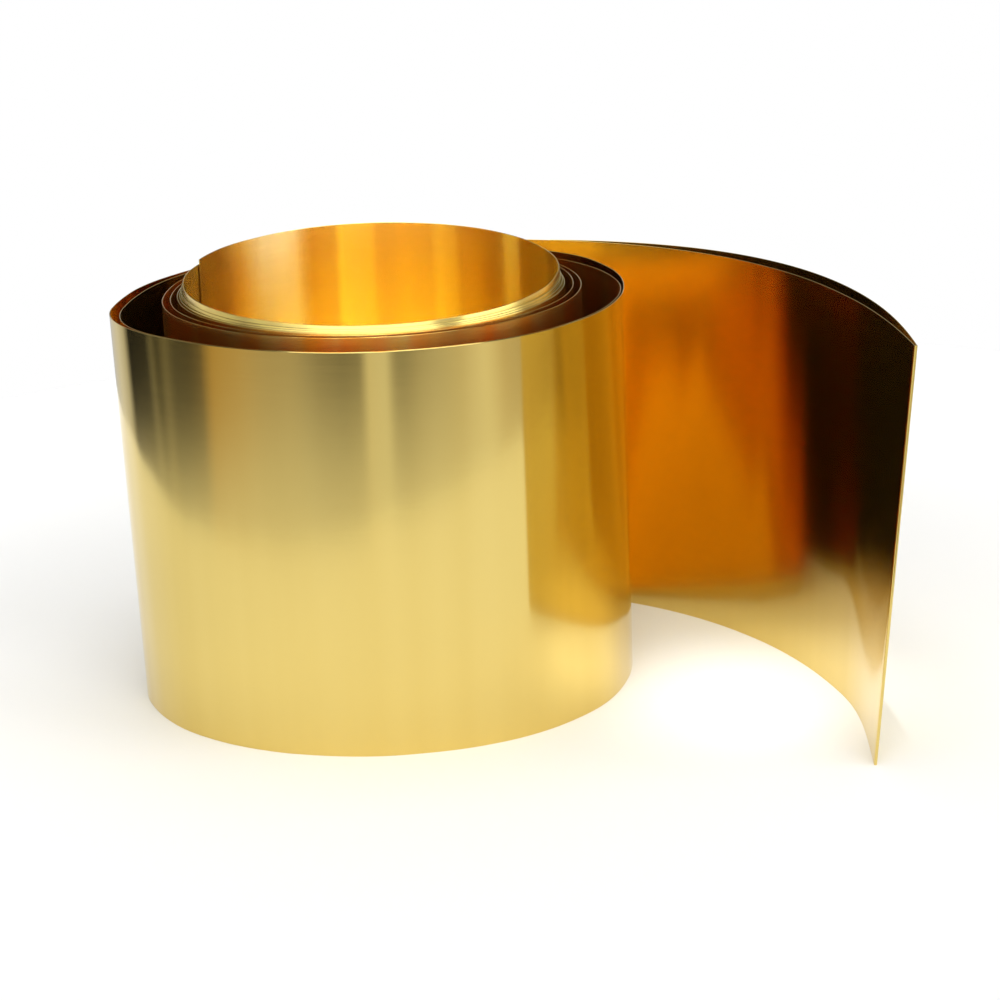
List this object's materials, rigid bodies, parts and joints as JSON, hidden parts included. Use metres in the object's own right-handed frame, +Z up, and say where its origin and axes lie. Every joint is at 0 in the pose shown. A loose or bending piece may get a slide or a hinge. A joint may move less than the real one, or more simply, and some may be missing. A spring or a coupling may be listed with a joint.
{
  "type": "roll of brass sheet",
  "caption": "Roll of thin brass strip 100 mm wide, standing on its edge, with a tight coil, four loose turns and a free tail folded at its end.",
  "frame": {"origin": "on the coil's axis, on the plane that the roll stands on", "axes": "+Z up along the coil's axis, +X towards the side where the tail springs away, -Y towards the front that the tail's end reaches"},
  "size_m": [0.1865, 0.1591, 0.1106],
  "materials": {
    "brass": "satin rolled finish with fine grain along the strip"
  },
  "bodies": {
    "root": {"brass_strip": "brass"}
  },
  "joints": []
}
